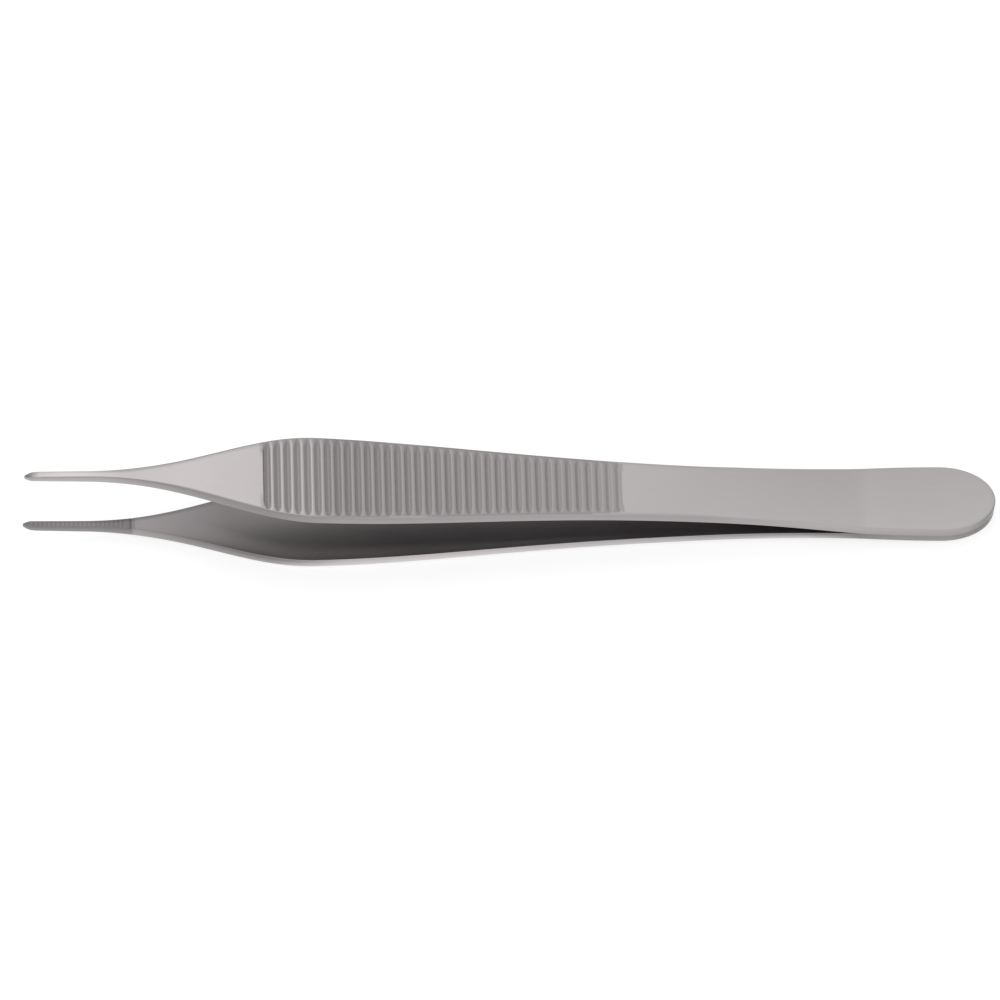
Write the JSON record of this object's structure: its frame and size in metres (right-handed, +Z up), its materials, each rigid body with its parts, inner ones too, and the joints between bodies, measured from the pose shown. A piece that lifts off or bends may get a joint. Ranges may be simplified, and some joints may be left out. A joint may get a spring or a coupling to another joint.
{
  "type": "thumb forceps",
  "caption": "Thumb forceps of satin stainless steel with fine toothed jaws, a broad cross-ribbed grip and bowed spring arms welded at a rounded butt.",
  "frame": {"origin": "middle of the underside: the centre of the part in X and Y, on the surface that the forceps lie on", "axes": "+X from the tips to the butt, +Y across the width of the arms, +Z up from the surface; the forceps lie on the bulge and the butt of the lower arm, so the middle plane between the arms falls by 3.24 degrees towards the butt"},
  "size_m": [0.1202, 0.0114, 0.0145],
  "materials": {
    "satin_steel": "fine satin-ground stainless steel with low glare"
  },
  "bodies": {
    "root": {"upper_arm": "satin_steel", "lower_arm": "satin_steel"}
  },
  "joints": []
}
